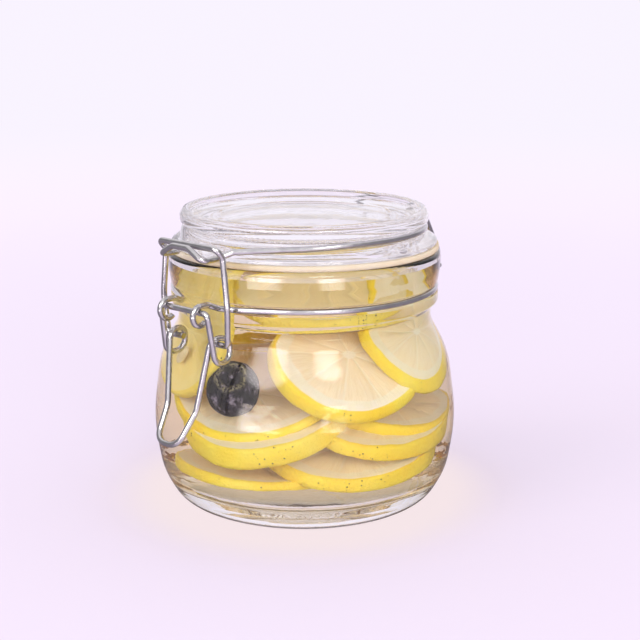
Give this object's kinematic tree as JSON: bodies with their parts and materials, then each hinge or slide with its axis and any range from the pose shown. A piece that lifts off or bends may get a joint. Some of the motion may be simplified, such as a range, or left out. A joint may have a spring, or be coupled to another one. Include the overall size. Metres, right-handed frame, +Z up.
{
  "type": "clip_top_jar",
  "caption": "Small round glass jar with a wire clip-top lid, shut, filled with pale lemon drink holding lemon slices and a dark berry.",
  "frame": {"origin": "centre of the jar's base, where its axis meets the surface it stands on", "axes": "+Z up along the jar's axis, -Y towards the wire clasp, +Y towards the hinge, +X to the right seen from the clasp"},
  "size_m": [0.1056, 0.1265, 0.1017],
  "materials": {
    "glass": "clear",
    "silicone": "translucent",
    "wire": "bright drawn wire",
    "drink": "clear liquid"
  },
  "bodies": {
    "jar": {"jar_glass": "glass", "lid_glass": "glass", "seal": "silicone", "neck_wire": "wire", "lid_wire": "wire", "liquid": "drink"},
    "lever": {"lever": "wire"},
    "clip": {"clip": "wire"}
  },
  "joints": [
    {"name": "lever_pivot", "type": "hinge", "parent": "jar", "child": "lever", "pos_m": [0, -0.0564, 0.075], "axis": [-1, 0, 0], "range_deg": [0, 125]},
    {"name": "clip_pivot", "type": "hinge", "parent": "lever", "child": "clip", "pos_m": [0, -0.0507, 0.064], "axis": [-1, 0, 0], "range_deg": [-81, 0]}
  ],
  "couplings": [
    {"joint": "clip_pivot", "follows": "lever_pivot", "ratio": -0.64}
  ]
}
